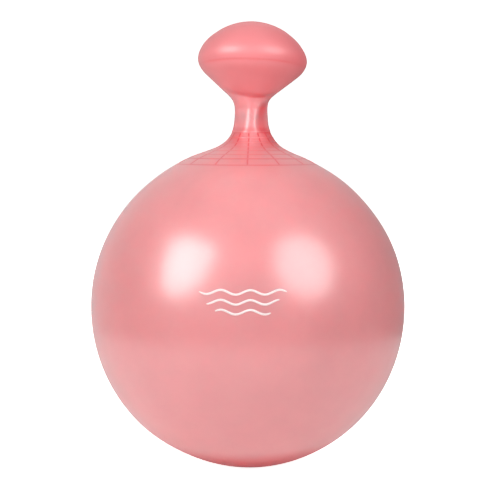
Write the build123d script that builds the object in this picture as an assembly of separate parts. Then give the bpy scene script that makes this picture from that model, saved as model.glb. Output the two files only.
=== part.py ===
"""Inflatable exercise ball with a mushroom grip: a soft vinyl skin, its valve seat and its valve plug.

Row frame: +Z up, the origin on the floor under the middle of the ball, the valve at the back (+Y).
All lengths are in millimetres. The skin is one hollow moulding in the real thing. It is stored as three
solids that meet face to face, ball_skin, neck_skin and grip_knob, so that the soft neck can bend.
"""

from build123d import *
from math import atan2, cos, degrees, hypot, radians, sin, sqrt, tan
import os

# Ball, blown up and standing on its own weight
ball_radius = 125.0
ball_half_height = 127.7
footprint_radius = 18.0  # flat patch that the weight presses against the floor
ball_wall = 0.8

# Shoulder, neck and grip
shoulder_start_radius = 49.0  # where the ball ends and the straight shoulder starts
shoulder_fillet = 24.0
neck_radius = 13.2
grip_wall = 2.6  # the unstretched vinyl of the neck and the knob
grip_height = 351.6  # floor to the top of the knob
dome_radius = 48.2
rim_radius = 13.6
underside_angle = 40.5  # slope of the knob's underside from the horizontal, in degrees
underside_start_z = 290.2  # where the underside's slope would meet the neck
underside_fillet = 12.0

# Levels where the skin is split
neck_bottom_z = 266.0
neck_top_z = 288.0

# Raised net of ribs moulded on the shoulder
rib_height = 0.45
rib_width = 1.0
rib_root = 0.3  # depth that the net reaches into the skin, to fuse with it
meridian_ribs = 14
ring_ribs = 8
net_outer_radius = 55.8
net_top_z = 265.6
first_ring_step = 4.7  # along the slope, at the neck
last_ring_step = 9.4  # along the slope, at the ball

# Parting line of the mould, round the knob where it is widest
parting_line_z = 321.0
parting_line_height = 0.2
parting_line_width = 0.7

# Valve, moulded into the back of the ball at mid height
boss_radius = 8.0
boss_tip_radius = 6.0
boss_depth = 14.0  # from the ball's surface inwards
boss_shoulder_depth = 5.0  # where the boss starts to taper
flange_radius = 13.0
flange_thickness = 1.4
bore_radius = 3.0
bore_mouth_chamfer = 0.5
head_seat_radius = 6.9
head_seat_depth = 2.0

# Plug
plug_clearance = 0.05  # all round the stem
head_radius = 6.5
head_thickness = 1.7
head_edge_fillet = 0.5
stem_length = 15.0  # under the head
stem_groove_depth = 0.4
sealing_rings = 3
sealing_ring_width = 1.6
sealing_ring_pitch = 3.6
stem_tip_radius = 2.1
stem_tip_length = 1.8
core_radius = 1.1
core_depth = 9.0
pry_notch_width = 2.4
pry_notch_depth = 0.9

ball_centre_z = ball_half_height * sqrt(1 - (footprint_radius / ball_radius) ** 2)
valve_z = ball_centre_z


def ellipse_height(radius, half_width, half_height):
    """Height above the ball's centre of an ellipse at a radius from the axis."""
    return half_height * sqrt(1 - (radius / half_width) ** 2)


def shoulder_line(half_width, half_height):
    """Start point and slope of the straight shoulder that leaves the ball's ellipse on a tangent."""
    start = ellipse_height(shoulder_start_radius, half_width, half_height)
    slope = half_height**2 * shoulder_start_radius / (half_width**2 * start)
    return Vector(shoulder_start_radius, ball_centre_z + start), slope


def skin_outline(lower_wall=0.0, upper_wall=0.0):
    """Half section of the skin in the XZ plane, taken in by a wall thickness below and above the shoulder."""
    half_width = ball_radius - lower_wall
    half_height = ball_half_height - lower_wall
    neck = neck_radius - upper_wall
    dome = dome_radius - upper_wall
    floor_z = lower_wall
    foot = half_width * sqrt(1 - ((ball_centre_z - floor_z) / half_height) ** 2)

    shoulder_start, slope = shoulder_line(half_width, half_height)
    thicker = upper_wall - lower_wall
    shoulder_end_z = shoulder_start.Y + slope * (shoulder_start.X - neck) - thicker

    rise = tan(radians(underside_angle))
    underside_drop = upper_wall / cos(radians(underside_angle))
    underside_z = underside_start_z + underside_drop - upper_wall * rise
    dome_centre_z = grip_height - dome_radius
    # The underside's line is z = base + rise * r. Where it meets the dome's circle is a quadratic in r.
    base = underside_z - rise * neck - dome_centre_z
    a, b, c = 1 + rise**2, 2 * rise * base, base**2 - dome**2
    corner_radius = (-b + sqrt(b**2 - 4 * a * c)) / (2 * a)
    corner_z = dome_centre_z + base + rise * corner_radius

    # The arc's middle point, halfway round the dome from the corner to the pole
    half_angle = 0.5 * radians(degrees_from_pole(corner_radius, corner_z - dome_centre_z))
    dome_middle = (dome * sin(half_angle), dome_centre_z + dome * cos(half_angle))

    start_angle = degrees_from_equator(foot / half_width, (floor_z - ball_centre_z) / half_height)
    end_angle = degrees_from_equator(
        shoulder_start.X / half_width, (shoulder_start.Y - ball_centre_z) / half_height
    )
    with BuildSketch() as section:
        with BuildLine():
            Line((0, floor_z), (foot, floor_z))
            EllipticalCenterArc(
                (0, ball_centre_z),
                half_width,
                half_height,
                start_angle=start_angle,
                arc_size=end_angle - start_angle,
            )
            Line(shoulder_start, (neck, shoulder_end_z))
            Line((neck, shoulder_end_z), (neck, underside_z))
            Line((neck, underside_z), (corner_radius, corner_z))
            ThreePointArc((corner_radius, corner_z), dome_middle, (0, dome_centre_z + dome))
            Line((0, dome_centre_z + dome), (0, floor_z))
        make_face()
        fillet(corner_at(section, neck, shoulder_end_z), shoulder_fillet + thicker)
        fillet(corner_at(section, neck, underside_z), underside_fillet + upper_wall)
        fillet(corner_at(section, corner_radius, corner_z), rim_radius - upper_wall)
    return section.sketch


def corner_at(section, radius, height):
    """The sketch's vertex nearest to a point."""
    return section.vertices().sort_by_distance((radius, height, 0))[0]


def degrees_from_pole(radius, height):
    """Angle of a point from the vertical, in degrees."""
    return 90.0 - degrees_from_equator(radius, height)


def degrees_from_equator(radius, height):
    """Angle of a point from the horizontal, in degrees."""
    return degrees(atan2(height, radius))


def turned(section):
    """Solid of revolution about Z of a sketch drawn with X as radius and Y as height."""
    return revolve(Plane.XZ * section, Axis.Z)


def between(solid, low, high):
    """The part of a solid between two levels."""
    size = 4 * ball_radius
    return solid & Pos(0, 0, (low + high) / 2) * Box(size, size, high - low)


def net_rings():
    """Height and radius of each ring rib, from the neck down, with steps that grow with the stretch."""
    arc_centre = Vector(neck_radius + shoulder_fillet, 0)
    start, slope = shoulder_line(ball_radius, ball_half_height)
    lean = degrees_from_equator(1.0, slope)
    tangent = shoulder_fillet * tan(radians(90.0 - lean) / 2)
    arc_centre.Y = start.Y + slope * (start.X - neck_radius) + tangent
    arc_turn = 90.0 - lean
    line_start = arc_centre + Vector(-sin(radians(lean)), -cos(radians(lean))) * shoulder_fillet
    line_length = hypot(start.X - line_start.X, start.Y - line_start.Y)
    first_turn = degrees_from_equator(
        sqrt(shoulder_fillet**2 - (arc_centre.Y - net_top_z) ** 2), arc_centre.Y - net_top_z
    )
    growth = (last_ring_step / first_ring_step) ** (1.0 / (ring_ribs - 2))
    step, along, rings = first_ring_step, shoulder_fillet * radians(first_turn), []
    for _ in range(ring_ribs):
        on_line = along - shoulder_fillet * radians(arc_turn)
        if on_line <= 0:
            turn = along / shoulder_fillet
            point = arc_centre + Vector(-cos(turn), -sin(turn)) * shoulder_fillet
        elif on_line <= line_length:
            point = line_start + Vector(cos(radians(lean)), -sin(radians(lean))) * on_line
        else:
            radius = start.X + (on_line - line_length) * cos(radians(lean))
            point = Vector(radius, ball_centre_z + ellipse_height(radius, ball_radius, ball_half_height))
        rings.append((point.Y, point.X))
        along += step
        step *= growth
    return rings


def raised_layer(height):
    """Thin layer over the whole skin, rooted in it, that raised lines are cut from."""
    return turned(skin_outline(-height, -height)) - turned(skin_outline(rib_root, rib_root))


def shoulder_net():
    """Raised net of rings and meridian ribs, cut from a thin layer that lies on the shoulder."""
    band = raised_layer(rib_height)
    low = ball_centre_z + ellipse_height(net_outer_radius, ball_radius, ball_half_height)
    band = between(band, low - rib_width / 2, net_top_z + rib_width / 2)
    span = 2 * (net_outer_radius + rib_width)
    slab = Pos(0, 0, (low + net_top_z) / 2) * Box(span, rib_width, 2 * (net_top_z - low))
    cutters = [Rot(0, 0, 360.0 / meridian_ribs * n) * slab for n in range(meridian_ribs // 2)]
    for height, radius in net_rings():
        steep = radius < 2 * neck_radius
        if steep:
            cutters.append(Pos(0, 0, height) * Cylinder(2 * neck_radius, rib_width))
        else:
            tall = 4 * rib_width + rib_height
            ring = Cylinder(radius + rib_width / 2, tall) - Cylinder(radius - rib_width / 2, tall)
            cutters.append(Pos(0, 0, height) * ring)
    return [band & cutter for cutter in cutters]


def outwards(section):
    """Solid of revolution about the valve's axis, drawn with X as radius and Y as distance from Z."""
    return Pos(0, 0, valve_z) * revolve(Plane.XY * section, Axis.Y)


def valve_seat(outer, inner):
    """Boss fused into the skin, with a flange behind it, a bore and a seat for the plug's head."""
    face, tip = ball_radius, ball_radius - boss_depth
    boss = Polyline(
        (0, face + 1),
        (boss_radius, face + 1),
        (boss_radius, face - boss_shoulder_depth),
        (boss_tip_radius, tip),
        (0, tip),
        close=True,
    )
    flange_back = face - ball_wall - flange_thickness
    flange = Pos(0, (flange_back + face) / 2, valve_z) * Rot(90, 0, 0)
    flange = flange * Cylinder(flange_radius, face - flange_back)
    seat = (outwards(make_face(boss)) & outer) + (flange & inner)
    bore = Pos(0, face - boss_depth / 2, valve_z) * Rot(90, 0, 0)
    seat -= bore * Cylinder(bore_radius, 2 * boss_depth)
    floor = face - head_seat_depth
    seat -= Pos(0, floor + boss_depth / 2, valve_z) * Rot(90, 0, 0) * Cylinder(head_seat_radius, boss_depth)
    mouth = Pos(0, floor - bore_mouth_chamfer / 2, valve_z) * Rot(-90, 0, 0)
    seat -= mouth * Cone(bore_radius, bore_radius + bore_mouth_chamfer, bore_mouth_chamfer)
    return seat


def valve_plug():
    """Stopper with a flat round head, a grooved stem, a lead-in tip and a hollow core."""
    under_head = ball_radius - head_seat_depth + plug_clearance
    stem = bore_radius - plug_clearance
    points = [(0, under_head + head_thickness), (head_radius, under_head + head_thickness)]
    points += [(head_radius, under_head), (stem, under_head)]
    for ring in range(sealing_rings):
        top = under_head - sealing_ring_pitch * (ring + 1) + sealing_ring_width
        points += [(stem - (stem_groove_depth if ring else 0), top), (stem, top)]
        points += [(stem, top - sealing_ring_width), (stem - stem_groove_depth, top - sealing_ring_width)]
    tip = under_head - stem_length
    points += [(stem - stem_groove_depth, tip + stem_tip_length), (stem_tip_radius, tip), (0, tip)]
    outline = []
    for point in points:
        if not outline or point != outline[-1]:
            outline.append(point)
    plug = outwards(make_face(Polyline(*outline, close=True)))
    top_edge = plug.edges().filter_by(GeomType.CIRCLE).sort_by(Axis.Y)[-1]
    plug = fillet(top_edge, head_edge_fillet)
    core = Pos(0, tip + core_depth / 2, valve_z) * Rot(90, 0, 0)
    plug -= core * Cylinder(core_radius, core_depth)
    for side in (-1, 1):
        notch = Pos(side * head_radius, under_head, valve_z)
        plug -= notch * Box(2 * pry_notch_depth, 2 * pry_notch_depth, pry_notch_width)
    return plug


def build():
    """All sub-parts, by node name."""
    outer = turned(skin_outline())
    inner = turned(skin_outline(ball_wall, grip_wall))
    skin = outer - inner
    well = Pos(0, ball_radius, valve_z) * Rot(90, 0, 0) * Cylinder(boss_radius, boss_depth)
    ball = between(skin, -1, neck_bottom_z) - well
    for rib in shoulder_net():
        ball += between(rib, -1, neck_bottom_z)
    half_line = parting_line_width / 2
    line = between(
        raised_layer(parting_line_height), parting_line_z - half_line, parting_line_z + half_line
    )
    return {
        "ball_skin": ball,
        "neck_skin": between(skin, neck_bottom_z, neck_top_z),
        "grip_knob": between(skin, neck_top_z, grip_height + 1) + line,
        "valve_seat": valve_seat(outer, inner),
        "valve_plug": valve_plug(),
    }


os.makedirs("parts", exist_ok=True)
for node, shape in build().items():
    shape.label = node
    export_step(shape, f"parts/{node}.step")
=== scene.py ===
# Soft vinyl exercise ball with a mushroom grip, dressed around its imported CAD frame.
# Shapes are worked out in millimetres and put into the meshes in metres.
import math
import bpy
import numpy as np
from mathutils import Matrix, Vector
from types import SimpleNamespace


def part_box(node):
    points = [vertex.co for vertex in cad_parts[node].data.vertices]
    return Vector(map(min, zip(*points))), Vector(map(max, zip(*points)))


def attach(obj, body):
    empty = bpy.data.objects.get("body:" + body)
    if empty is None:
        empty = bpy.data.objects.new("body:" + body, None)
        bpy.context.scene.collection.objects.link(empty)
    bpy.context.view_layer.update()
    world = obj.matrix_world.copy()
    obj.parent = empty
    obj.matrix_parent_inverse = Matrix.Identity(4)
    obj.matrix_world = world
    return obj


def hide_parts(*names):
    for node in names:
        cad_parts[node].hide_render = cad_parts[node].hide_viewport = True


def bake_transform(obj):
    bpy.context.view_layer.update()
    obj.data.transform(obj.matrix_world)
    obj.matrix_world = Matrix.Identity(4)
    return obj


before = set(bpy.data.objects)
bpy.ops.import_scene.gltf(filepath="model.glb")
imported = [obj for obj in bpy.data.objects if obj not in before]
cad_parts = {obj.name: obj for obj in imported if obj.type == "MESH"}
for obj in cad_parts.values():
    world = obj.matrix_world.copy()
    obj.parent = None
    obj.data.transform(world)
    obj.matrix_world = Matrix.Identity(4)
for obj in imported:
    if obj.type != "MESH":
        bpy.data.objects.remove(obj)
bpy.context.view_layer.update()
mm = 0.001


def hexColour(text):
    # sRGB hex to linear: a twelfth of the value near black, elsewhere ((c + 0.055) / 1.055) to the power 2.4
    values = [int(text[i:i + 2], 16) / 255 for i in (1, 3, 5)]
    return [c / 12.92 if c <= 0.04045 else ((c + 0.055) / 1.055) ** 2.4 for c in values] + [1.0]


def smoothStep(x, low, high):
    # 0 below low, 1 above high, and 3t^2 - 2t^3 between them
    t = np.clip((x - low) / (high - low), 0, 1)
    return t * t * (3 - 2 * t)


def bump(distance, halfWidth, power=2):
    # 1 at the middle, falling to e^-1 at the half width; a higher power gives a flatter top
    return np.exp(-np.abs(distance / halfWidth) ** power)


def between(x, rise, fall):
    # 0 outside and 1 inside: it rises over the first range and falls over the second
    return smoothStep(x, *rise) * (1 - smoothStep(x, *fall))


def mix(pair, share):
    # from the first value of a pair, at share 0, to the second, at share 1
    return pair[0] + (pair[1] - pair[0]) * share


def addObject(name, data):
    thing = bpy.data.objects.new(name, data)
    bpy.context.scene.collection.objects.link(thing)
    return thing


def nodeBox(name):
    low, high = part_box(name)
    return np.array(low) / mm, np.array(high) / mm


ballLow, ballHigh = nodeBox("ball_skin")
knobHigh = nodeBox("grip_knob")[1]
neckLow, neckHigh = nodeBox("neck_skin")
seatLow, seatHigh = nodeBox("valve_seat")

skinShape = {  # half section of the blown-up skin, in mm
    "ballRadius": (ballHigh[0] - ballLow[0]) / 2,
    "ballHalfHeight": 127.7,
    "footprint": 18.0,  # radius of the flat patch that the ball stands on
    "reliefStart": (10, 40),  # mm along the outline from the patch's middle over which the relief begins
    "shoulderStart": 49.0,  # radius where the ball turns into the straight shoulder
    "shoulderFillet": 24.0,
    "neckRadius": 13.2,
    "undersideFillet": 12.0,
    "undersideAngle": 40.5,  # degrees from the horizontal
    "undersideStart": 290.2,  # height where the underside would meet the neck
    "domeRadius": 49.0,
    "domeSlope": 48.0,  # degrees from the horizontal where the dome turns into the brow
    "browRadius": 26.0,
    "browSlope": 68.0,  # degrees from the horizontal where the brow turns into the rim
    "topHeight": knobHigh[2],
    "softening": 2.2,  # mm along the outline over which its curvature eases
}
footShare = skinShape["footprint"] / skinShape["ballRadius"]
ballCentre = skinShape["ballHalfHeight"] * math.sqrt(1 - footShare ** 2)
valveHeight = (seatLow[2] + seatHigh[2]) / 2


def roundedCorner(before, corner, after, radius, count=60):
    # arc of that radius that touches the two straight runs which meet at the corner
    toBefore, toAfter = before - corner, after - corner
    toBefore, toAfter = toBefore / np.linalg.norm(toBefore), toAfter / np.linalg.norm(toAfter)
    half = math.acos(np.clip(toBefore @ toAfter, -1, 1)) / 2
    middle = toBefore + toAfter
    centre = corner + middle / np.linalg.norm(middle) * radius / math.sin(half)
    start = corner + toBefore * radius / math.tan(half) - centre
    end = corner + toAfter * radius / math.tan(half) - centre
    angles = np.unwrap([math.atan2(start[1], start[0]), math.atan2(end[1], end[0])])
    turn = np.linspace(angles[0], angles[1], count)
    return centre + radius * np.stack([np.cos(turn), np.sin(turn)], 1)


def skinOutline(s):
    # half section from the middle of the resting patch to the top of the knob: flat patch, ellipse, straight
    # shoulder, rounded corner, neck, rounded corner, straight underside, rounded rim, brow, dome
    a, b, z0 = s["ballRadius"], s["ballHalfHeight"], ballCentre
    startRise = b * math.sqrt(1 - (s["shoulderStart"] / a) ** 2)
    slope = b ** 2 * s["shoulderStart"] / (a ** 2 * startRise)
    shoulder = np.array([s["shoulderStart"], z0 + startRise])
    neckFoot = np.array([s["neckRadius"], shoulder[1] + slope * (shoulder[0] - s["neckRadius"])])
    neckTop = np.array([s["neckRadius"], s["undersideStart"]])
    slopes = np.radians([0, s["domeSlope"], s["browSlope"], 180 - s["undersideAngle"]])
    out = np.stack([np.sin(slopes), np.cos(slopes)], 1)  # outward normals where the knob's arcs meet
    domeCentre = np.array([0, s["topHeight"] - s["domeRadius"]])
    browCentre = domeCentre + out[1] * (s["domeRadius"] - s["browRadius"])
    # the rim's radius lands it on the underside's line: gap / (1 - cos of the turn between both ends)
    browEnd = browCentre + out[2] * s["browRadius"]
    rimRadius = out[3] @ (neckTop - browEnd) / (1 - out[2] @ out[3])
    rimCentre = browEnd - out[2] * rimRadius
    ballTurn = np.linspace(math.asin(-z0 / b), math.asin(startRise / b), 500)
    ball = np.stack([a * np.cos(ballTurn), z0 + b * np.sin(ballTurn)], 1)

    def arc(centre, radius, start, end, count=80):
        slope = np.linspace(start, end, count)
        return centre + radius * np.stack([np.sin(slope), np.cos(slope)], 1)

    points = np.concatenate([
        [[0, 0]], ball,
        roundedCorner(shoulder, neckFoot, neckTop, s["shoulderFillet"]),
        roundedCorner(neckFoot, neckTop, rimCentre + out[3] * rimRadius, s["undersideFillet"]),
        arc(rimCentre, rimRadius, slopes[3], slopes[2]),
        arc(browCentre, s["browRadius"], slopes[2], slopes[1]),
        arc(domeCentre, s["domeRadius"], slopes[1], slopes[0])])
    length = np.concatenate([[0], np.cumsum(np.linalg.norm(np.diff(points, axis=0), axis=1))])
    step = 0.1
    even = np.arange(0, length[-1], step)
    r, z = np.interp(even, length, points[:, 0]), np.interp(even, length, points[:, 1])
    # a running average by a bell curve; the outline is mirrored past both ends so that the poles stay level
    reach = int(4 * s["softening"] / step)
    bell = bump(np.arange(-reach, reach + 1) * step, s["softening"] * math.sqrt(2))
    bell /= bell.sum()
    r = np.convolve(np.concatenate([-r[reach:0:-1], r, -r[-2:-reach - 2:-1]]), bell, "valid")
    z = np.convolve(np.concatenate([z[reach:0:-1], z, z[-2:-reach - 2:-1]]), bell, "valid")
    r[0] = r[-1] = 0
    return even, r, z - z.min()


outlineLength, outlineRadius, outlineHeight = skinOutline(skinShape)
equator = np.argmax(outlineRadius)
neckMiddleHeight = (neckLow[2] + neckHigh[2]) / 2


def lengthAtHeight(height):
    # distance along the outline, above the ball's equator, where it reaches a height
    return np.interp(height, outlineHeight[equator:], outlineLength[equator:])


def lengthAtRadius(radius):
    # distance along the outline where the shoulder has a radius
    part = slice(equator, equator + 2 + int(np.argmin(outlineRadius[equator:equator + 1800])))
    return np.interp(-radius, -outlineRadius[part], outlineLength[part])


frontTurn = -math.pi / 2  # angle of the printed side round the axis
farAway = 99.0  # mm, further than any rib shows

net = {
    "meridians": 14,
    "rings": 8,
    "outerRadius": 55.4,  # radius of the lowest ring
    "topHeight": 265.8,  # height of the highest ring, at the neck
    "firstStep": 4.6, "lastStep": 9.5,  # mm between rings, at the neck and at the ball
    "ribHalfWidth": 0.42,
    "ribHeight": (0.126, 0.273),  # at the neck and at the ball
    "pillow": 0.22,  # how far the stretched cells swell between the ribs
    "valleyHalfWidth": 2.2,  # mm beside a rib that stay low
    "straighten": 0.78,  # share of the neck's sideways lean that the ribs make up for
    "waver": 0.35,  # mm, unevenness of the ring ribs
    "shadowDrop": 0.45,  # mm below a ring where its painted shadow lies
    "columns": 10,  # columns of the mesh on each side of a meridian
    "crowded": 5, "reach": 1.0,  # how many of them stand within that many mm of it
}
neckForm = {
    "zone": ((262, 269), (284, 291)),  # heights over which the dents begin and end
    "collarStep": 0.3, "collarEnd": (280, 290),  # the neck stands proud of the net
    # the right dent's edge, mm right of the front: a parabola of the height
    "rightPlace": 2.9, "rightHeight": 272.0, "rightCurve": 0.0184, "rightSoft": 0.22,
    # the left dent's edge, mm left of the front: a slanted line
    "leftPlace": 2.2, "leftHeight": 283.0, "leftSlope": 0.17, "leftSoft": 0.55,
    "dentWidth": 56.0,  # degrees round the neck
    "ridgeHeight": 285.6, "ridgeProud": 0.18, "ridgeWidth": 1.5,
    "foldDepth": 0.3, "foldWidth": 2.1,
    "foldHeight": 291.2, "foldRise": 6.0, "foldWaver": 0.7,  # its height in front, and how it climbs
    "lobe": 1.3, "lobeZone": ((-0.5, 5.0), (6, 22)),  # the knob's underside swells above the fold
}
knobForm = {
    "partingHeight": 317.0, "partingDepth": 0.09,
    "ridgeWidth": 0.45, "grooveWidth": 0.6,  # a ridge just above the line, and a groove below it
    "partingOffset": 0.5,
    "domeBand": 343.0, "domeStep": 0.12, "domeEase": 1.2,  # a faint step round the dome
    "uneven": 0.2,
    "crown": (336, 350),  # heights over which all that varies round the axis fades out
}
swellings = (
    # mm, side (1 right, -1 left, 0 all round), cosine that it starts at, height, half height
    (0.6, -1, 0.1, 334, 9),  # upper left of the knob
    (0.95, 0, 0, 321, 7),  # its rim
    (-0.2, 0, 0, 294, 6),  # its waist
    (-0.45, 0, 0, 282, 6),  # neck
    (0.6, 0, 0, 245.5, 4.0),  # shoulder
    (0.45, -1, 0.1, 168, 40),  # left of the ball
    (-0.9, 1, 0.1, 212, 30),  # upper right
    (-0.9, -1, -0.3, 14, 14),  # lower left
)
ballUneven = {"depth": 0.25, "waves": 3, "slant": 0.02, "alongside": 0.017, "zone": ((2, 30), (205, 240))}
depth = {
    # how much deeper the colour is: 0 where the skin is blown thin, 1 where it is thick; several entries add
    # painted shade
    "shoulder": 0.16, "shoulderReach": 25,  # grows from that many mm below the net
    "cells": (0.06, 0.56),  # cells next to the neck, in front and at the sides: the vinyl's own deeper colour, with painted shade at the sides
    "rings": (0.07, 0.5),  # painted shadow under each ring rib, at the neck and at the ball
    # along the meridian ribs: the ribs' own deeper colour, and painted shade beside them
    "meridians": 0.7,
    "neck": 0.17, "neckStart": (266.2, 267.5),
    "root": 0.24, "rootHeight": 267.8, "rootWidth": 1.6,  # painted shade where the neck leaves the net
    # painted shade in the fold under the knob and in the neck's right dent
    "fold": 0.47, "dent": 0.5,
    "knob": 0.19, "knobStart": (288, 300),
    # painted shade on the knob's right side
    "knobRight": 0.14, "knobRightStart": (292, 304),
    # painted shade along the groove under the parting line
    "parting": 0.2, "partingWidth": 0.95,
    "foot": (15, 33),  # heights over which the full-depth painted contact shade at the resting rim fades out
}
lean = {
    # mm to the right, and the heights over which each begins and ends
    "shoulderShift": -1.1, "shoulder": ((225, 247), (247, 256)),
    "neckShift": 2.6, "neck": (247, 262),
    "waistShift": -0.5, "waistHeight": 296, "waistHalf": 8,
    "knobShift": 3.4, "knob": (292, 314),
    "neckBack": 4.5, "back": (262, 296),  # degrees that the neck leans back
    "tiltSide": 1.7, "tiltBack": 4.2,  # degrees that the knob tilts
    "tilt": (283, 296), "pivotHeight": 289,  # where that begins and is full, and what it turns about
    "sideCarry": 0.2, "backCarry": 0.35,  # share of each tilt that also carries the knob across
    # heights over which the ribs start to make up for the shifts, and the least radius that they turn on
    "twist": (230, 250), "twistRadius": 12,
}

netTop = lengthAtHeight(net["topHeight"])
netBottom = lengthAtRadius(net["outerRadius"])
growth = np.linspace(0, 1, net["rings"] - 1)
ringSteps = net["firstStep"] * (net["lastStep"] / net["firstStep"]) ** growth
ringSteps *= (netTop - netBottom) / ringSteps.sum()
ringLengths = netTop - np.concatenate([[0], np.cumsum(ringSteps)])
neckMiddle = lengthAtHeight(neckMiddleHeight)


def wander(turn, seed, waves=(2, 3, 5, 7)):
    # slow unevenness round the skin: a few sine waves of whole numbers of turns, with fixed phases
    return sum(np.sin(k * turn + seed * 1.7 * k) / k for k in waves) / 1.2


def whereOnSkin(turn, length):
    # what the relief and the colour both need to know of points of the skin; right and toFront are cosines
    height = np.interp(length, outlineLength, outlineHeight)
    fromFront = (turn - frontTurn + math.pi) % (2 * math.pi) - math.pi
    right, toFront = np.cos(turn), np.cos(fromFront)
    at = SimpleNamespace(turn=turn, length=length, height=height, right=right, toFront=toFront)

    # distance to the nearest ring rib, and to the line just under each, where a shadow is painted
    ringGap, tintGap = np.full_like(length, farAway), np.full_like(length, farAway)
    for n, ringLength in enumerate(ringLengths):
        waver = net["waver"] * wander(turn, n + 1) * (0.3 + 0.7 * n / net["rings"])
        fromRing = length - ringLength - waver
        ringGap = np.minimum(ringGap, np.abs(fromRing))
        tintGap = np.minimum(tintGap, np.abs(fromRing + net["shadowDrop"]))
    at.ringGap, at.tintGap = ringGap, tintGap
    netEnd = (netTop - 0.2, netTop + 0.4)
    at.onNet = between(length, (netBottom - 0.5, netBottom + 0.2), netEnd)
    at.onTint = between(length, (netBottom - 1.8, netBottom - 1.2), netEnd)
    at.stretch = smoothStep(length, netTop - 4, netBottom)  # 0 at the neck, 1 at the ball

    # angles past the edges of the neck's two dents
    f, radius = neckForm, skinShape["neckRadius"]
    rightEdge = f["rightPlace"] + f["rightCurve"] * (height - f["rightHeight"]) ** 2
    leftEdge = f["leftPlace"] + f["leftSlope"] * (f["leftHeight"] - height)
    at.pastRight, at.pastLeft = fromFront - rightEdge / radius, -fromFront - leftEdge / radius
    at.onNeck = between(height, *f["zone"])

    # distance along the outline from the fold, which is lowest in front: base + rise (1 - cos of the angle)
    climb = f["foldRise"] * (1 - np.cos(np.minimum(np.abs(fromFront), 2.2)))
    at.fromFold = length - lengthAtHeight(f["foldHeight"] + climb + f["foldWaver"] * np.sin(turn * 2))
    at.foldShare = smoothStep(toFront, -0.1, 0.5) * np.clip(0.75 + 0.5 * right, 0.35, 1)

    # the parting line fades towards both sides of the knob
    at.fromParting = length - lengthAtHeight(knobForm["partingHeight"])
    at.partingShare = 1 - 0.8 * smoothStep(np.abs(right + 0.08), 0.6, 0.9)
    at.offCrown = 1 - smoothStep(height, *knobForm["crown"])
    return at


def netRelief(at, ribDistance):
    # ribs of height e^-(distance / half width)^3 on skin that swells between them as it is stretched
    length, stretch, onNet = at.length, at.stretch, at.onNet
    lineWidth = net["ribHalfWidth"] * (1 - 0.15 * stretch)
    ring = bump(at.ringGap, lineWidth, 3)
    nearLowest = np.abs(length - netBottom) < 3
    rib = np.maximum(ring * np.maximum(onNet, ring * nearLowest), bump(ribDistance, lineWidth, 3) * onNet)
    rib *= 1 - smoothStep(length, netTop + 0.2, netTop + 0.8)
    width = net["valleyHalfWidth"]
    valley = np.maximum(bump(at.ringGap, width), bump(ribDistance, width)) * onNet
    return mix(net["ribHeight"], stretch) * rib - net["pillow"] * valley * stretch


def flattened(beyond, eased):
    # how far the neck is cut in past an edge, as a chord cuts into a circle, and eased at its ends:
    # cut = radius (1 - cos half / cos(angle - half)), then eased log(1 + e^(cut / eased))
    half = math.radians(neckForm["dentWidth"]) / 2
    cut = skinShape["neckRadius"] * (1 - math.cos(half) / np.cos(np.clip(beyond - half, -1.2, 1.2)))
    return eased * np.log1p(np.exp(cut / eased))


def neckRelief(at):
    # the collar at the neck's foot, two dents, a faint ridge, the fold under the knob and the lobe over it
    f, height, fromFold, foldShare = neckForm, at.height, at.fromFold, at.foldShare
    collar = f["collarStep"] * smoothStep(at.length, netTop - 0.1, netTop + 0.6)
    collar *= 1 - smoothStep(height, *f["collarEnd"])
    dents = flattened(at.pastRight, f["rightSoft"]) + flattened(at.pastLeft, f["leftSoft"])
    ridge = f["ridgeProud"] * bump(height - f["ridgeHeight"], f["ridgeWidth"])
    ridge *= smoothStep(at.toFront, 0.3, 0.9)
    fold = f["foldDepth"] * bump(fromFold, f["foldWidth"]) * foldShare
    lobe = f["lobe"] * between(fromFold, *f["lobeZone"]) * foldShare
    return collar - dents * at.onNeck + ridge - fold + lobe


def relief(at, ribDistance):
    # height of the surface above the smooth outline
    turn, length, height = at.turn, at.length, at.height
    k, gap, aside = knobForm, at.fromParting, knobForm["partingOffset"]
    parting = bump(gap - aside, k["ridgeWidth"]) - bump(gap + aside, k["grooveWidth"])
    total = netRelief(at, ribDistance) + neckRelief(at) + k["partingDepth"] * at.partingShare * parting
    fromBand = length - lengthAtHeight(k["domeBand"])
    total += k["domeStep"] * smoothStep(fromBand, -k["domeEase"], k["domeEase"])
    total += k["uneven"] * wander(turn, 3, (2, 3)) * smoothStep(height, 296, 315) * at.offCrown
    for swelling, side, start, middle, halfHeight in swellings:
        share = smoothStep(side * at.right, start, 1) * at.offCrown if side else 1
        total += swelling * share * bump(height - middle, halfHeight)
    # slow waves on the ball, which run slantwise round it
    u = ballUneven
    soft = np.sin(u["waves"] * turn + u["slant"] * length) * np.sin(u["alongside"] * length)
    return total + u["depth"] * soft * between(height, *u["zone"])


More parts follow.
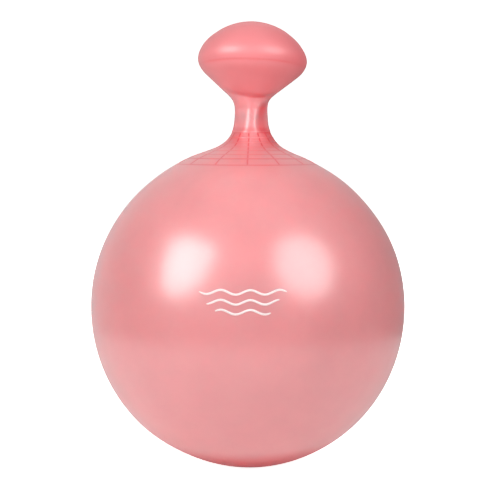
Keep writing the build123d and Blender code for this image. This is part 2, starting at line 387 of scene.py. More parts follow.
def colourDepthAndShade(at, ribDistance):
    # how deep the colour is, from 0 to 1: unstretched vinyl in ribs, near the neck and on the knob, and
    # painted shade under ribs, in folds, dents and the parting groove, on the knob's right and at the foot
    d, height, stretch = depth, at.height, at.stretch
    ringShadowShare = bump(at.tintGap, 0.8)
    thickAndShaded = d["shoulder"] * smoothStep(at.length, netBottom - d["shoulderReach"], netTop)
    # the vinyl left thick next to the neck, with painted shade at the net's sides
    thickAndShaded += at.onNet * mix(d["cells"], np.abs(at.right)) * (1 - stretch) ** 2
    # painted shadow just under each ring rib
    thickAndShaded += at.onTint * ringShadowShare * mix(d["rings"], stretch)
    # the meridian ribs' own deeper colour, with painted shade beside them
    thickAndShaded += at.onNet * (1 - ringShadowShare) * bump(ribDistance, 0.6) * d["meridians"]
    onNeck = thickAndShaded * (1 - smoothStep(height, *d["neckStart"])) + d["neck"]
    thickAndShaded = np.where(height > d["neckStart"][0], onNeck, thickAndShaded)
    # painted shade where the neck leaves the net
    thickAndShaded += d["root"] * bump(height - d["rootHeight"], d["rootWidth"])
    # painted shade in the fold under the knob
    thickAndShaded += d["fold"] * between(at.fromFold, (-1.0, 0.8), (1.0, 8.0)) * at.foldShare
    # painted shade in the flat of the neck's right dent
    thickAndShaded += d["dent"] * between(at.pastRight, (0.05, 0.35), (0.6, 1.1)) * at.onNeck
    thickAndShaded += d["knob"] * smoothStep(height, *d["knobStart"])
    # painted shade on the knob's right side
    onRight = smoothStep(at.right, 0.1, 0.9) * smoothStep(height, *d["knobRightStart"])
    thickAndShaded += d["knobRight"] * onRight * at.offCrown
    # painted shade along the parting line
    thickAndShaded += d["parting"] * at.partingShare * bump(at.fromParting + 0.35, d["partingWidth"])
    # painted contact shade at the resting rim
    thickAndShaded += 1 - smoothStep(height, *d["foot"])
    return np.clip(thickAndShaded, 0, 1)


def sidewaysShift(z):
    # how far the middle of the skin stands to the right at a height
    shift = lean["shoulderShift"] * between(z, *lean["shoulder"])
    shift += lean["neckShift"] * smoothStep(z, *lean["neck"])
    shift += lean["waistShift"] * bump(z - lean["waistHeight"], lean["waistHalf"])
    return shift + (lean["knobShift"] - lean["neckShift"]) * smoothStep(z, *lean["knob"])


def leanOver(points):
    # the soft neck stands a little off the ball's middle and leans back, and the knob tilts on it
    x, y, z = np.moveaxis(points, -1, 0)
    shift, bend = sidewaysShift(z), smoothStep(z, *lean["tilt"])
    side, back = math.radians(lean["tiltSide"]) * bend, math.radians(lean["tiltBack"]) * bend
    up = z - lean["pivotHeight"]
    x, up = x * np.cos(side) + up * np.sin(side) * lean["sideCarry"], up * np.cos(side) - x * np.sin(side)
    y, up = y * np.cos(back) + up * np.sin(back) * lean["backCarry"], up * np.cos(back) - y * np.sin(back)
    y = y + math.tan(math.radians(lean["neckBack"])) * (np.clip(z, *lean["back"]) - lean["back"][0])
    return np.stack([x + shift, y, np.where(z > lean["tilt"][0], up + lean["pivotHeight"], z)], -1)


def columnAngles(length):
    # angles of the columns on each row, and their distances from the nearest meridian rib: they crowd beside
    # each rib on the net, and are evenly spaced elsewhere
    cells, side, crowded, reach = (net[name] for name in ("meridians", "columns", "crowded", "reach"))
    j = np.arange(-side, side)
    radius = np.interp(length, outlineLength, outlineRadius)[:, None]
    halfCell = math.pi * radius / cells
    far = np.sign(j) * (reach + (np.abs(j) - crowded) / (side - crowded) * (halfCell - reach))
    close = np.where(np.abs(j) <= crowded, reach / crowded * j, far)
    onNet = between(length, (netBottom - 22, netBottom - 3), (netTop + 1, netTop + 6))[:, None]
    across = j / side * halfCell * (1 - onNet) + close * onNet
    height = np.interp(length, outlineLength, outlineHeight)
    twist = -net["straighten"] * sidewaysShift(height) * smoothStep(height, *lean["twist"])
    twist /= np.maximum(radius[:, 0], lean["twistRadius"])
    first = frontTurn + twist[:, None, None] + (np.arange(cells) * 2 * math.pi / cells)[None, :, None]
    angle = first + (across / np.maximum(radius, 1e-6))[:, None, :]
    distance = np.repeat(np.abs(across)[:, None, :], cells, 1)
    return angle.reshape(len(length), -1), distance.reshape(len(length), -1)


def surface(length):
    # rows along the outline by columns round the axis: the outline is turned about the axis, pushed out
    # along its own normal by the relief, which fades out under the foot, then leaned over
    angle, ribDistance = columnAngles(length)
    rows = np.repeat(length[:, None], angle.shape[1], 1)
    r, z, slopeR, slopeZ = (np.interp(rows, outlineLength, values) for values in (
        outlineRadius, outlineHeight, np.gradient(outlineRadius, outlineLength),
        np.gradient(outlineHeight, outlineLength)))
    at = whereOnSkin(angle, rows)
    push = relief(at, ribDistance) * smoothStep(rows, *skinShape["reliefStart"]) / np.hypot(slopeR, slopeZ)
    r, z = r + push * slopeZ, z - push * slopeR
    points = leanOver(np.stack([r * np.cos(angle), r * np.sin(angle), z], -1))
    return points, colourDepthAndShade(at, ribDistance)


def crowdedRows(start, end, spacing, lines=(), reach=1.0, fine=0.2):
    # positions from start to end, with extra ones beside each line
    rows = list(np.linspace(start, end, max(2, int(round((end - start) / spacing)) + 1)))
    for line in lines:
        rows = [x for x in rows if abs(x - line) > reach or x in (start, end)]
        rows += list(line + np.arange(-reach, reach + fine / 2, fine))
    rows = np.array(sorted(rows))
    return rows[(rows >= start) & (rows <= end)]


def gridFaces(rows, columns):
    # quads of a grid that closes round on itself, wound so that they face outwards
    row, column = np.meshgrid(np.arange(rows - 1), np.arange(columns), indexing="ij")
    after = (column + 1) % columns
    low, high = row * columns, (row + 1) * columns
    return np.stack([low + column, low + after, high + after, high + column], -1).reshape(-1, 4).tolist()


def fanFaces(ring, centre, outwards):
    # triangles from a ring of points to one point
    after = ring[1:] + ring[:1]
    return [(b, a, centre) if outwards else (a, b, centre) for a, b in zip(ring, after)]


def newPiece(name, points, faces, material, smooth=True):
    mesh = bpy.data.meshes.new(name)
    mesh.from_pydata((np.asarray(points) * mm).tolist(), [], faces)
    mesh.polygons.foreach_set("use_smooth", [smooth] * len(mesh.polygons))
    mesh.materials.append(material)
    return addObject(name, mesh)


def colourSkin(piece, values):
    # the first attribute is how deep the vinyl's colour is, painted shade included, and "matt" how dull it
    # is, as the neck and the knob are
    places = np.zeros(3 * len(piece.data.vertices))
    piece.data.vertices.foreach_get("co", places)
    matt = sum(share * smoothStep(places[2::3] / mm, *zone) for share, zone in vinyl["dullness"])
    for name, numbers in (("wallAndShade", values), ("matt", matt)):
        attribute = piece.data.attributes.new(name, "FLOAT", "POINT")
        attribute.data.foreach_set("value", np.asarray(numbers, np.float32))


def matchNormals(piece, ring, normals, capFaces):
    # the ring where two pieces of the one skin meet gets the whole skin's normals, so that no line shows
    mesh = piece.data
    corner = np.zeros(len(mesh.loops), np.int32)
    mesh.loops.foreach_get("vertex_index", corner)
    wanted = np.zeros((len(corner), 3))
    lookUp = np.full(len(mesh.vertices), -1)
    lookUp[ring] = np.arange(len(ring))
    onRing = lookUp[corner] >= 0
    wanted[onRing] = normals[lookUp[corner[onRing]]]
    capLoops = np.array([i for f in capFaces for i in mesh.polygons[f].loop_indices])
    wanted[capLoops] = 0
    mesh.normals_split_custom_set(wanted.tolist())


def gridNormals(points):
    # cross product of the steps round the axis and along the outline
    around = np.roll(points, -1, 1) - np.roll(points, 1, 1)
    along = np.gradient(points, axis=0)
    n = np.cross(around, along)
    return n / np.linalg.norm(n, axis=2, keepdims=True)


def addNode(tree, kind, settings=None, **links):
    # a node with its own settings, and its inputs by name: a socket is linked, anything else is a value
    node = tree.nodes.new("ShaderNode" + kind)
    for name, value in (settings or {}).items():
        setattr(node, name, value)
    for name, value in links.items():
        key = int(name[1:]) if name[0] == "_" and name[1:].isdigit() else name.replace("_", " ")
        if isinstance(value, bpy.types.NodeSocket):
            tree.links.new(value, node.inputs[key])
        else:
            node.inputs[key].default_value = value
    return node


def newMaterial(name):
    material = bpy.data.materials.new(name)
    material.use_nodes = True
    tree = material.node_tree
    tree.nodes.clear()
    return material, tree


def mapRange(tree, value, start, end, settings=None):
    # the value that runs over the range start comes out running over the range end
    node = addNode(tree, "MapRange", settings, Value=value, From_Min=start[0], From_Max=start[1],
                   To_Min=end[0], To_Max=end[1])
    return node.outputs["Result"]


def slide(tree, value, first, step):
    # the first where the value is 0, and changed by the step where it is 1
    return addNode(tree, "Math", {"operation": "MULTIPLY_ADD"}, _0=value, _1=step, _2=first).outputs["Value"]


def cloudy(tree, place, size, detail, roughness=0.5):
    # uneven pattern with blotches of about that size in mm
    return addNode(tree, "TexNoise", Vector=place, Scale=1 / (size * mm), Detail=detail,
                   Roughness=roughness).outputs["Fac"]


def blended(tree, factor, colours):
    # from the first colour where the factor is 0 to the second where it is 1
    return addNode(tree, "Mix", {"data_type": "RGBA"}, Factor=factor, A=hexColour(colours[0]),
                   B=hexColour(colours[1])).outputs["Result"]


def dimpled(tree, height, strength, distance, **links):
    # normals of a surface uneven by that distance in mm
    return addNode(tree, "Bump", Height=height, Strength=strength, Distance=distance * mm,
                   **links).outputs["Normal"]


def addShader(tree, direct, **links):
    # the one shader of a material; direct holds values by the sockets' own names
    shader = addNode(tree, "BsdfPrincipled", **links)
    for name, value in direct.items():
        shader.inputs[name].default_value = value
    addNode(tree, "OutputMaterial", Surface=shader.outputs["BSDF"])


vinyl = {
    "stretched": "#e69699",  # thin, blown-up skin of the ball
    "thickAndShaded": "#da3a45",  # unstretched vinyl of the ribs and the knob's underside, and the colour of painted shade in folds, dents, under ribs and at the foot
    "roughness": (0.28, 0.35),  # of the blown-up ball, on and between the grains
    "unstretched": 0.14,  # how much rougher the skin is where it was never stretched
    "dullness": ((0.4, (258, 272)), (0.6, (292, 306))),  # shares of that gained over two ranges of height
    "ior": 1.53,
    "bleed": 25.0,  # mm that red light spreads through the thin skin and the air behind it
    "bleedColour": (1.0, 0.16, 0.14),
    "bleedShare": (0.6, -0.55),  # where it is stretched, and the change where it isn't
    "coat": (0.4, -0.3), "coatRoughness": 0.17,  # clear lacquer, likewise
    "grain": 0.8,  # mm, the fine pebble that the mould leaves
    "blotch": 38.0,  # mm, slow unevenness of the colour
    "shade": (0.965, 1.035),  # darkest and lightest of it
    "wave": 30.0,  # mm, slow unevenness of the surface
    "middle": (0.3, 0.7),  # the part of a cloudy pattern's values that is put to use
}


def mouldedVinyl():
    # rotationally moulded PVC, plasticised, pearl pink: a satin skin with a fine pebble that breaks up the
    # highlights, paler where it is blown thin, deeper in the ribs where it stays thick, and darker where
    # shade is painted into it
    v = vinyl
    material, tree = newMaterial("moulded PVC, pearl pink")
    place = addNode(tree, "TexCoord").outputs["Object"]
    wallAndShade, matt = (addNode(tree, "Attribute", {"attribute_name": name}).outputs["Fac"]
                  for name in ("wallAndShade", "matt"))
    grain = cloudy(tree, place, v["grain"], 2.0, 0.6)
    colour = blended(tree, wallAndShade, (v["stretched"], v["thickAndShaded"]))
    shade = mapRange(tree, cloudy(tree, place, v["blotch"], 4.0, 0.6), v["middle"], v["shade"])
    tinted = addNode(tree, "HueSaturation", Color=colour, Value=shade)
    rough = mapRange(tree, grain, v["middle"], v["roughness"])
    rougher = slide(tree, matt, rough, v["unstretched"])
    waves = dimpled(tree, cloudy(tree, place, v["wave"], 1.0), 0.5, 0.5)
    pebble = dimpled(tree, grain, 0.35, 0.03, Normal=waves)
    direct = {"Specular IOR Level": 1.0, "Subsurface Radius": v["bleedColour"],
              "Subsurface Scale": v["bleed"] * mm, "Coat Roughness": v["coatRoughness"]}
    addShader(tree, direct, Base_Color=tinted.outputs["Color"], Roughness=rougher, Normal=pebble,
              IOR=v["ior"], Subsurface_Weight=slide(tree, matt, *v["bleedShare"]),
              Coat_Weight=slide(tree, matt, *v["coat"]))
    return material


def screenInk():
    # vinyl screen ink, opaque white: thin and satin, with the skin's pebble just showing through
    material, tree = newMaterial("screen ink, white")
    place = addNode(tree, "TexCoord").outputs["Object"]
    grain = cloudy(tree, place, vinyl["grain"], 2.0)
    addShader(tree, {}, Base_Color=blended(tree, grain, ("#f2dcdc", "#faeeed")), Roughness=0.42, IOR=1.5,
              Normal=dimpled(tree, grain, 0.3, 0.05))
    return material


def softPolythene():
    # low density polyethylene, moulded: milky, a little waxy, and faintly see-through at thin edges
    material, tree = newMaterial("moulded polyethylene, milky")
    place = addNode(tree, "TexCoord").outputs["Object"]
    colour = blended(tree, cloudy(tree, place, 4, 3.0), ("#e9e6df", "#f6f4ee"))
    pebble = dimpled(tree, cloudy(tree, place, 0.35, 2.0), 0.2, 0.02)
    direct = {"Subsurface Weight": 0.25, "Subsurface Radius": (1.0, 0.9, 0.8), "Subsurface Scale": 1.5 * mm}
    addShader(tree, direct, Base_Color=colour, Roughness=0.38, IOR=1.51, Normal=pebble)
    return material


skinMaterial = mouldedVinyl()
inkMaterial = screenInk()
plugMaterial = softPolythene()
print("materials made")


valve = {
    "holeRadius": 8.0,
    "blockColumns": 12, "blockRows": 14,  # faces of the ball that give way to the patch round the hole
    "patch": (0.25, 0.48, 0.66, 0.8, 0.9, 0.96, 1.0),  # its rings, in shares of the way in to the hole
    "lipHeight": 0.14, "lipStart": 0.8,  # the patch rises a little over the last of those shares
    "lipWidth": 0.5,  # mm outside the hole where the patch ends
    # rings over the hole's edge and down its pocket: mm wider than the hole, and mm deep
    "hole": ((0.28, 0.02), (0.1, 0.16), (0.0, 0.42), (0.0, 3.0), (0.0, 8.0), (0.0, 14.6), (-2.0, 14.6),
             (-5.0, 14.6)),
    "patchColour": 0.05, "holeColour": 0.3,  # how deep the vinyl's colour is there
}


def ballRows():
    # where the rows lie along the outline, in mm
    lower = crowdedRows(2.5, outlineLength[equator] + 6, spacing=1.6)
    upper = crowdedRows(lower[-1] + 2.4, netBottom - 9, spacing=2.6)
    shoulder = crowdedRows(netBottom - 7, netTop + 1.5, 1.15, lines=ringLengths, reach=0.9, fine=0.18)
    neck = crowdedRows(netTop + 1.9, neckMiddle, spacing=0.5)
    return np.concatenate([lower, upper, shoulder, neck])


def ellipsoidPoints(x, z):
    # points of the ball's back, y worked out from x and z
    s = skinShape
    inside = 1 - (x / s["ballRadius"]) ** 2 - ((z - ballCentre) / s["ballHalfHeight"]) ** 2
    return np.stack([x, s["ballRadius"] * np.sqrt(inside), z], -1)


def valveBlock(points):
    # first and last row and column of the block of faces round the valve, and its edge, point by point
    middleRow = int(np.argmin(np.abs(points[:, 0, 2] - valveHeight)))
    row = points[middleRow]
    middleColumn = int(np.argmin(np.where(row[:, 1] > 0, np.abs(row[:, 0]), np.inf)))
    r0, r1 = middleRow - valve["blockRows"] // 2, middleRow + valve["blockRows"] // 2
    c0, c1 = middleColumn - valve["blockColumns"] // 2, middleColumn + valve["blockColumns"] // 2
    edge = [(r0, c) for c in range(c0, c1)] + [(r, c1) for r in range(r0, r1)]
    edge += [(r1, c) for c in range(c1, c0, -1)] + [(r, c0) for r in range(r1, r0, -1)]
    return (slice(r0, r1), slice(c0, c1)), [r * points.shape[1] + c for r, c in edge]


def valveRings(border):
    # rings of points from the block's square edge in to the round hole, over its lip and down its pocket
    turn = np.arctan2(border[:, 2] - valveHeight, border[:, 0])
    circle = np.stack([np.cos(turn), np.sin(turn)], 1)
    uneven = border[:, 1] - ellipsoidPoints(border[:, 0], border[:, 2])[:, 1]
    lip = circle * (valve["holeRadius"] + valve["lipWidth"]) + [0, valveHeight]
    rings = []
    for share in valve["patch"]:
        flat = border[:, [0, 2]] * (1 - share) + lip * share
        ring = ellipsoidPoints(flat[:, 0], flat[:, 1])
        ring[:, 1] += valve["lipHeight"] * smoothStep(share, valve["lipStart"], 1) + uneven * (1 - share)
        rings.append(ring)
    for wider, depth in valve["hole"]:
        flat = circle * (valve["holeRadius"] + wider)
        ring = ellipsoidPoints(flat[:, 0], flat[:, 1] + valveHeight)
        # over the edge the depth is from the curved skin, and in the pocket from the ball's furthest point
        ring[:, 1] = ring[:, 1] - depth if depth < 1 else skinShape["ballRadius"] - depth
        rings.append(ring)
    return rings


def makeBall():
    length = ballRows()
    points, thickAndShaded = surface(length)
    rows, columns = points.shape[:2]
    normals = gridNormals(surface(np.append(length, neckMiddle + 0.5))[0])[rows - 1]
    grid = points.reshape(-1, 3)
    block, edge = valveBlock(points)
    keep = np.ones((rows - 1, columns), bool)
    keep[block] = False
    faces = np.array(gridFaces(rows, columns)).reshape(rows - 1, columns, 4)[keep].tolist()
    rings = valveRings(grid[edge])
    count = len(edge)
    starts = [len(grid) + n * count for n in range(len(rings))]
    loops = [edge] + [list(range(first, first + count)) for first in starts]
    for outer, inner in zip(loops, loops[1:]):
        faces += [(outer[n], outer[(n + 1) % count], inner[(n + 1) % count], inner[n]) for n in range(count)]
    # the middles of the foot, of the cut through the neck and of the valve's pocket
    pocketMiddle = [0, skinShape["ballRadius"] - valve["hole"][-1][1], valveHeight]
    grid = np.concatenate([grid] + rings + [[[0, 0, 0], points[-1].mean(0), pocketMiddle]])
    foot, cut, pocket = range(len(grid) - 3, len(grid))
    faces += fanFaces(list(range(columns)), foot, True)
    faces += fanFaces(loops[-1], pocket, False)
    capStart = len(faces)
    topRing = list(range((rows - 1) * columns, rows * columns))
    faces += fanFaces(topRing, cut, False)
    piece = newPiece("ballSkin", grid, faces, skinMaterial)
    onPatch = [valve["patchColour"]] * len(valve["patch"]) + [valve["holeColour"]] * len(valve["hole"])
    middles = [0, valve["holeColour"], valve["holeColour"]]
    colourSkin(piece, np.concatenate([thickAndShaded.ravel(), np.repeat(onPatch, count), middles]))
    matchNormals(piece, np.array(topRing), normals, range(capStart, len(faces)))
    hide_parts("ball_skin", "neck_skin")
    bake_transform(piece)
    print("ball and lower neck:", len(faces), "faces")


def makeGrip():
    fold = lengthAtHeight(neckForm["foldHeight"])
    parting = lengthAtHeight(knobForm["partingHeight"])
    length = np.concatenate([
        crowdedRows(neckMiddle, fold + 12, spacing=0.42),
        crowdedRows(fold + 12.9, parting - 2.6, spacing=0.95),
        crowdedRows(parting - 2.0, parting + 2.0, spacing=0.2),
        crowdedRows(parting + 2.8, outlineLength[-1] - 1.5, spacing=1.1)])
    points, thickAndShaded = surface(length)
    rows, columns = points.shape[:2]
    normals = gridNormals(surface(np.insert(length, 0, neckMiddle - 0.5))[0])[1]
    # the middles of the cut through the neck and of the crown
    grid = np.concatenate([points.reshape(-1, 3), [points[0].mean(0), points[-1].mean(0) + [0, 0, 0.02]]])
    faces = gridFaces(rows, columns)
    cap = range(len(faces), len(faces) + columns)
    faces += fanFaces(list(range(columns)), len(grid) - 2, True)
    faces += fanFaces(list(range((rows - 1) * columns, rows * columns)), len(grid) - 1, False)
    piece = newPiece("gripSkin", grid, faces, skinMaterial)
    colourSkin(piece, np.concatenate([thickAndShaded.ravel(), [0.3, thickAndShaded[-1, 0]]]))
    matchNormals(piece, np.arange(columns), normals, cap)
    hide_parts("grip_knob")
    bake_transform(piece)
    print("grip and upper neck:", len(faces), "faces")


makeBall()
makeGrip()


valveParts = {
    # profiles, in mm from the valve's axis and mm in from the ball's furthest point
    "seat": (
        (7.93, 0.55), (7.9, 0.2), (7.75, 0.02), (7.45, -0.05), (7.15, 0.03), (6.95, 0.25), (6.9, 0.5),  # lip
        (6.9, 1.8), (6.75, 2.0), (3.55, 2.0), (3.2, 2.1),  # round seat for the plug's head
        (3.0, 2.5), (3.0, 14.0), (6.0, 14.2), (7.9, 5.0)),  # bore, and back outside it
    "plug": (
        (0.0, 0.12), (2.5, 0.14), (4.6, 0.2), (5.4, 0.1), (5.9, 0.14), (6.3, 0.32), (6.48, 0.62), (6.5, 1.0),
        (6.42, 1.55), (6.2, 1.84), (5.8, 1.95), (3.3, 1.95), (2.98, 2.1),  # head, and its underside
        (2.95, 2.6), (2.95, 3.9), (2.55, 4.2), (2.55, 5.6), (2.9, 5.9), (2.95, 6.2),  # stem with grooves
        (2.95, 7.2), (2.55, 7.8), (2.55, 9.2), (2.9, 9.5), (2.95, 9.8), (2.95, 10.8), (2.55, 11.4),
        (2.5, 14.8), (2.1, 16.6), (1.9, 16.95), (1.3, 16.95), (1.1, 16.7),  # tip
        (1.1, 8.2), (0.9, 8.0), (0.0, 8.0)),  # hollow core
    "turns": 96, "spacing": 1.2,  # columns round the axis, and roughly the mm between rows
    "notchDepth": 0.8, "notchWidth": 0.2,  # mm, and half its width in radians
    "notchRim": (5.4, 6.2),  # radii over which it begins
    "sharpAngle": 38.0,
    "seatColour": 0.45,
}


def turnedPart(name, profile, material, closed, notchDepth=0.0):
    # a profile of radius and depth turned about the valve's axis, with a notch at each side of the rim
    v, face, profile = valveParts, skinShape["ballRadius"], np.array(profile)
    turns, dense = v["turns"], [profile[0]]
    for p, q in zip(profile, np.roll(profile, -1, 0) if closed else profile[1:]):
        count = max(1, int(np.linalg.norm(q - p) / v["spacing"]))
        dense += [p + (q - p) * (n + 1) / count for n in range(count)]
    dense = np.array(dense[:-1] if closed else dense[1:-1])
    angle = np.linspace(0, 2 * math.pi, turns, endpoint=False)
    r, depth = (np.repeat(dense[:, n:n + 1], turns, 1) for n in (0, 1))
    fromSide = np.minimum(np.minimum(angle, np.abs(angle - math.pi)), 2 * math.pi - angle)
    r = r - notchDepth * bump(fromSide, v["notchWidth"], 4)[None, :] * smoothStep(r, *v["notchRim"])
    points = np.stack([r * np.cos(angle), face - depth, valveHeight + r * np.sin(angle)], -1)
    grid, faces = points.reshape(-1, 3), gridFaces(len(points), turns)
    last = (len(points) - 1) * turns
    if closed:
        faces += [(last + n, last + (n + 1) % turns, (n + 1) % turns, n) for n in range(turns)]
    else:
        ends = [[0, face - profile[n, 1], valveHeight] for n in (0, -1)]
        grid = np.concatenate([grid, ends])
        faces += fanFaces(list(range(turns)), len(grid) - 2, True)
        faces += fanFaces(list(range(last, last + turns)), len(grid) - 1, False)
    piece = newPiece(name, grid, faces, material)
    piece.data.set_sharp_from_angle(angle=math.radians(v["sharpAngle"]))
    return piece


seat = turnedPart("valveSeat", valveParts["seat"], skinMaterial, closed=True)
colourSkin(seat, np.full(len(seat.data.vertices), valveParts["seatColour"]))
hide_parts("valve_seat")
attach(seat, "ball")
plug = turnedPart("valvePlug", valveParts["plug"], plugMaterial, False, valveParts["notchDepth"])
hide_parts("valve_plug")
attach(plug, "plug")
print("valve made")


mark = {
    "centre": (-3.6, 149.5),  # mm across and up, on the front of the ball
    "waves": ((60.0, 6.6), (50.0, 0.0), (38.0, -6.6)),  # length and height of each wave above the centre
    "amplitude": 1.5, "wavelength": 20.0,
    "width": 1.5, "proud": 0.09, "sunk": 0.3,
    "points": 140,  # along each wave
    "squareness": 14,  # the higher, the shorter the round ends
    "sideProud": 0.7,  # share of the film's height at its two sides
}


def skinPush(points):
    # the skin's own unevenness at points of the ball's front, away from the net
    x, y, z = np.moveaxis(points, -1, 0)
    low = slice(0, equator + 1)
    below = np.interp(z, outlineHeight[low], outlineLength[low])
    length = np.where(z < outlineHeight[equator], below, lengthAtHeight(z))
    return relief(whereOnSkin(np.arctan2(y, x), length), farAway)


def makeWave(length, rise):
    # a ribbon along a sine wave, with round ends, wrapped on the ball: five lines across, the outer two sunk
    m, count = mark, mark["points"]
    s = np.linspace(-length / 2, length / 2, count)
    x = m["centre"][0] + s
    z = m["centre"][1] + rise + m["amplitude"] * np.sin(2 * math.pi * s / m["wavelength"])
    ends = np.sqrt(np.clip(1 - (np.abs(s) / (length / 2)) ** m["squareness"], 0.0004, 1))
    across = np.array([-1.0, -1.0, 0.0, 1.0, 1.0]) * (ends * m["width"] / 2)[:, None]
    side = m["proud"] * m["sideProud"]
    proud = np.array([-m["sunk"], side, m["proud"], side, -m["sunk"]])
    x, z, dx, dz = (values[:, None] for values in (x, z, np.gradient(x), np.gradient(z)))
    size = np.hypot(dx, dz)
    front = ellipsoidPoints(x - across * dz / size, z + across * dx / size) * [1, -1, 1]
    halves = np.array([skinShape["ballRadius"], skinShape["ballRadius"], skinShape["ballHalfHeight"]])
    normal = (front - [0, 0, ballCentre]) / halves ** 2
    normal /= np.linalg.norm(normal, axis=-1, keepdims=True)
    points = front + normal * (proud + skinPush(front))[..., None]
    lines = len(proud)
    last = (count - 1) * lines
    caps = [tuple(range(lines)), tuple(range(last + lines - 1, last - 1, -1))]
    return points.reshape(-1, 3), gridFaces(count, lines) + caps


def makeMark():
    points, faces, first = [], [], 0
    for length, rise in mark["waves"]:
        wavePoints, waveFaces = makeWave(length, rise)
        points.append(wavePoints)
        faces += [tuple(v + first for v in face) for face in waveFaces]
        first += len(wavePoints)
    piece = newPiece("printedMark", np.concatenate(points), faces, inkMaterial)
    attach(piece, "ball")
    print("printed mark:", len(faces), "faces")


makeMark()


studio = {
    "floorRadius": 2.2, "coveRadius": 0.9, "wallHeight": 2.6,
    "corners": 96, "coveSteps": 24,
    "paperRadius": 0.47,  # metres of bright paper round the ball, which its skin mirrors
    "white": "#f2f1f0",
    # a square soft panel with two of its corners folded away; its outline is in shares of the distance
    "leftPanel": {"azimuth": -47.0, "elevation": 28.0, "distance": 1.35, "strength": 6.8,
                  "outline": ((-0.35, 0.26), (-0.18, 0.34), (0.29, 0.32), (0.26, -0.12), (0.02, -0.35),
                              (-0.25, -0.31))},
    "rightBox": {"azimuth": 45.0, "elevation": 30.0, "distance": 1.35, "size": 0.98, "watts": 10.2},
    "topBox": {"azimuth": 0.0, "elevation": 84.0, "distance": 1.9, "size": 1.6, "watts": 1.6},
    "sideBox": {"azimuth": 95.0, "elevation": 38.0, "distance": 1.5, "size": 0.8, "watts": 4.2},
    "backBox": {"azimuth": 163.0, "elevation": 36.0, "distance": 1.6, "size": 0.9, "watts": 5.0},
    "knobLight": {"place": (0.0, -1.0, 0.03), "aim": (0.003, 0.0, 0.318), "cone": 11.0, "watts": 37.0,
                  "size": 0.12, "softness": 0.5},
    "target": (0, 0, 0.15),  # what the panel and the boxes point at
    "glow": 1.1,  # light that the paper itself gives, to keep it an even white
    "paperGlow": 0.05,  # and what the lit paper near the ball adds to its bounce
    "paperSpan": (-0.1, 0.4),  # metres to the right between which the light on that paper falls off
    "paperShares": (1.09, 0.76),  # and the shares of it at both
    "skyBack": 0.7, "skyFront": 0.14,
    "skyRight": 0.17, "skySpan": (-0.1, 0.8),  # the share of it on the right, and where it falls off
}
view = {"lens": 68.74, "sensor": 36.0, "place": (-0.0015, -0.75, 0.254), "down": 6.02}
target = Vector(studio["target"])


def seamlessPaper(name, colour, glow, dimmed=False):
    # dimmed paper gets darker towards the right, as light falls off across it
    material, tree = newMaterial(name)
    white = hexColour(colour)
    if dimmed:
        place = addNode(tree, "TexCoord").outputs["Object"]
        across = addNode(tree, "SeparateXYZ", Vector=place).outputs["X"]
        share = mapRange(tree, across, studio["paperSpan"], studio["paperShares"])
        white = addNode(tree, "HueSaturation", Color=white, Value=share).outputs["Color"]
    addShader(tree, {}, Base_Color=white, Roughness=0.9, Emission_Color=white, Emission_Strength=glow)
    return material


def makeStage():
    # a round white studio: flat floor, quarter-round cove and wall, turned about the middle
    s = studio
    cove = np.linspace(-math.pi / 2, 0, s["coveSteps"])
    profile = [(0.3, 0.0), (s["floorRadius"] - 0.4, 0.0)]
    floorEnd, rise = s["floorRadius"], s["coveRadius"]
    profile += [(floorEnd + rise * math.cos(t), rise * (1 + math.sin(t))) for t in cove]
    profile += [(floorEnd + rise, s["wallHeight"])]
    profile = np.array(profile) / mm
    turn = np.linspace(0, 2 * math.pi, s["corners"], endpoint=False)
    r, z = profile[:, :1], np.repeat(profile[:, 1:], len(turn), 1)
    points = np.stack([r * np.cos(turn), r * np.sin(turn), z], -1)
    faces = [f[::-1] for f in gridFaces(len(profile), len(turn))]
    grid = np.concatenate([points.reshape(-1, 3), [[0, 0, 0]]])
    faces += fanFaces(list(range(len(turn))), len(grid) - 1, False)
    whitePaper = seamlessPaper("seamless paper, white", s["white"], s["glow"])
    floor = newPiece("studioFloor", grid, faces, whitePaper)
    floor.visible_glossy = floor.visible_diffuse = floor.visible_shadow = False
    # the part of the paper near the ball, which lights it from below and which its skin mirrors
    ring = np.stack([np.cos(turn), np.sin(turn), np.full(len(turn), -0.5 * mm / s["paperRadius"])], -1)
    litPaper = seamlessPaper("lit paper", s["white"], s["paperGlow"], dimmed=True)
    ring *= s["paperRadius"] / mm
    paper = newPiece("brightPaper", ring, [tuple(range(len(turn)))], litPaper, smooth=False)
    paper.visible_camera = False


def awayFrom(lamp):
    # direction from the ball to a lamp: azimuth 0 is straight in front, and to the right is positive
    azimuth, elevation = math.radians(lamp["azimuth"]), math.radians(lamp["elevation"])
    return Vector((math.sin(azimuth) * math.cos(elevation), -math.cos(azimuth) * math.cos(elevation),
                   math.sin(elevation)))


def addPanel(name):
    # flat glowing cloth that faces the ball; its outline is laid out along the panel's own right and up
    panel = studio[name]
    away = awayFrom(panel)
    right = Vector((0, 0, 1)).cross(away).normalized()
    up = away.cross(right)
    outline = [target + panel["distance"] * (away + x * right + y * up) for x, y in panel["outline"]]
    cloth = newPiece(name, np.array(outline) / mm, [tuple(range(len(outline)))],
                     seamlessPaper("diffusing nylon, lit", studio["white"], panel["strength"]), smooth=False)
    cloth.visible_camera = False


def addLamp(name, light, place, direction, mirrored):
    lamp = addObject(name, light)
    lamp.location = place
    lamp.rotation_euler = direction.to_track_quat("-Z", "Y").to_euler()
    lamp.visible_camera, lamp.visible_glossy = False, mirrored


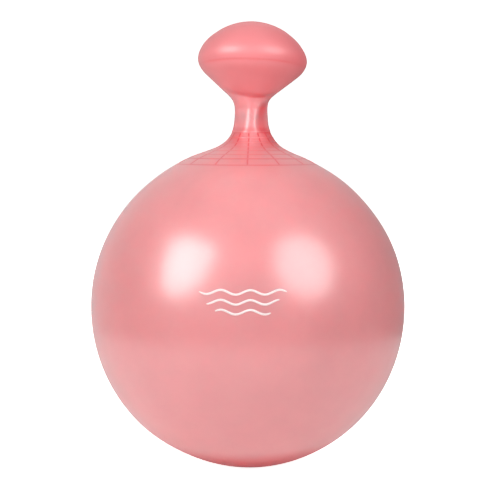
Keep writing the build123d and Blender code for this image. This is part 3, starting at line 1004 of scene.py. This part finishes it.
def addBox(name, shape="SQUARE", mirrored=True):
    box = studio[name]
    light = bpy.data.lights.new(name, "AREA")
    light.shape, light.size, light.energy = shape, box["size"], box["watts"]
    away = awayFrom(box)
    addLamp(name, light, target + away * box["distance"], -away, mirrored)


def addSpot(name):
    # a narrow soft light from low in front, which fills the shade under the knob and isn't mirrored
    spot = studio[name]
    light = bpy.data.lights.new(name, "SPOT")
    light.energy, light.spot_size = spot["watts"], math.radians(spot["cone"])
    light.spot_blend, light.shadow_soft_size = spot["softness"], spot["size"]
    addLamp(name, light, spot["place"], Vector(spot["aim"]) - Vector(spot["place"]), False)


def makeSky():
    # soft grey surroundings, brighter behind the ball than in front of it, and darker on the right
    world = bpy.data.worlds.new("studio surroundings")
    bpy.context.scene.world = world
    world.use_nodes = True
    tree = world.node_tree
    tree.nodes.clear()
    direction = addNode(tree, "TexCoord").outputs["Generated"]
    parts = addNode(tree, "SeparateXYZ", Vector=direction)
    eased = {"interpolation_type": "SMOOTHSTEP"}
    level = mapRange(tree, parts.outputs["Y"], (0.0, 1.0), (studio["skyFront"], studio["skyBack"]), eased)
    side = mapRange(tree, parts.outputs["X"], studio["skySpan"], (1.0, studio["skyRight"]), eased)
    both = addNode(tree, "Math", {"operation": "MULTIPLY"}, _0=level, _1=side)
    sky = addNode(tree, "Background", Color=(1, 1, 1, 1), Strength=both.outputs["Value"])
    addNode(tree, "OutputWorld", Surface=sky.outputs["Background"])


def addCamera():
    camera = bpy.data.cameras.new("camera")
    camera.lens, camera.sensor_width, camera.clip_end = view["lens"], view["sensor"], 20
    eye = addObject("camera", camera)
    eye.location = view["place"]
    eye.rotation_euler = (math.radians(90 - view["down"]), 0, 0)
    bpy.context.scene.camera = eye


makeStage()
addPanel("leftPanel")
addBox("rightBox", "DISK")
addBox("topBox")
addBox("sideBox", mirrored=False)
addBox("backBox", mirrored=False)
addSpot("knobLight")
makeSky()
addCamera()
bpy.context.scene.view_settings.view_transform = "Standard"
print("studio made")
